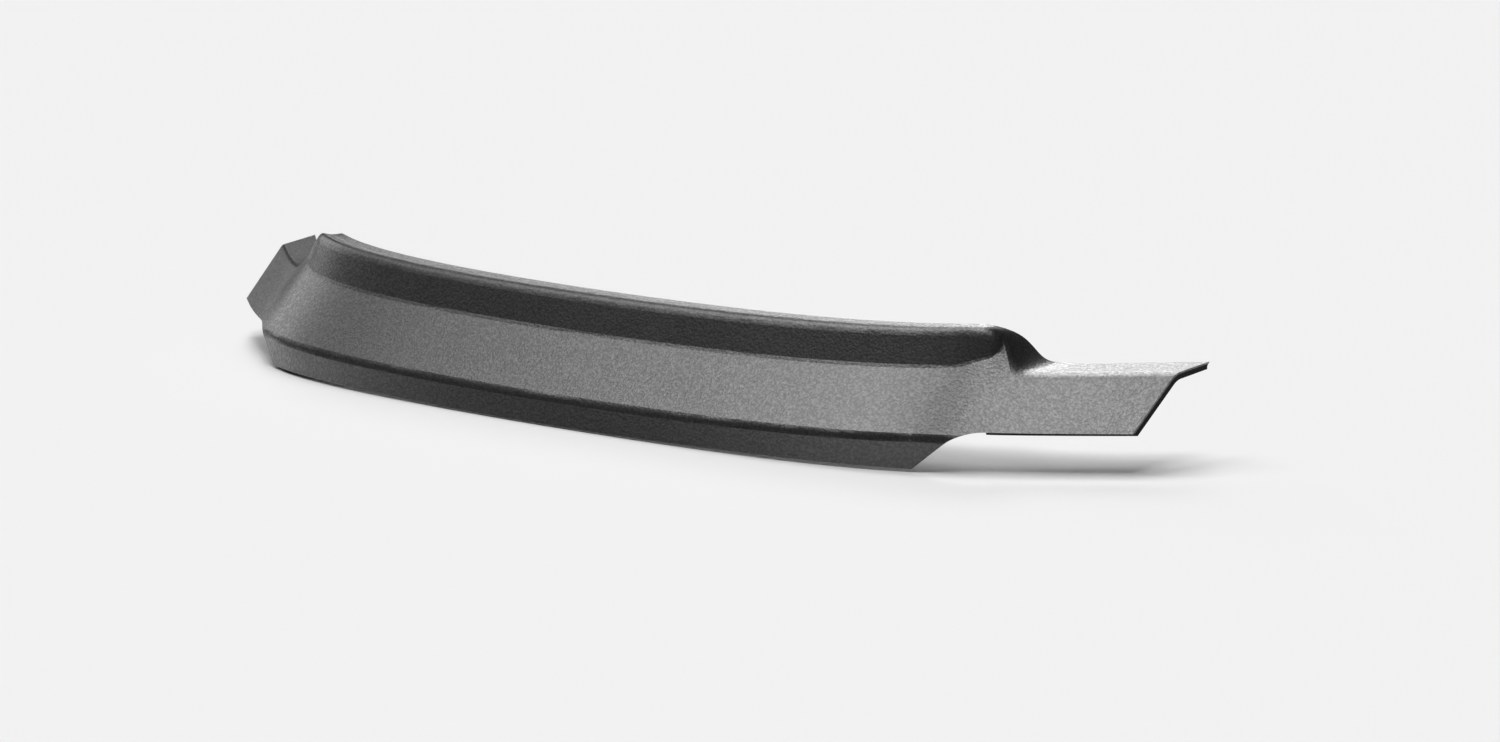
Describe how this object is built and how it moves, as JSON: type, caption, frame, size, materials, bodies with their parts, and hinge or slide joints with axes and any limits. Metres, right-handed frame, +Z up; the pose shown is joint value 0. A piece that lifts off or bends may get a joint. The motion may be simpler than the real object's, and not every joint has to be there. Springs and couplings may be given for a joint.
{
  "type": "hood bug deflector",
  "caption": "Matte black moulded shield that wraps a hood's front edge, with a raised air-deflecting riser, flat wings, lamp notches and foam mounting tape inside",
  "frame": {"origin": "Middle of the flange tape's free face, on the centre plane, where the part is stuck to the panel", "axes": "+Z up, -Y to the front of the vehicle, X along the part, its longest way"},
  "size_m": [1.8386, 0.4271, 0.1927],
  "materials": {
    "textured_shield": "fine leather-like grain, matte black",
    "foam_tape": "closed-cell foam strip with adhesive on both faces, near black"
  },
  "bodies": {
    "root": {"shield": "textured_shield", "flange_tape": "foam_tape", "band_tape": "foam_tape", "wing_tape_left": "foam_tape", "wing_tape_right": "foam_tape", "edge_tape_left": "foam_tape", "edge_tape_right": "foam_tape", "end_tape_left": "foam_tape", "end_tape_right": "foam_tape"}
  },
  "joints": []
}
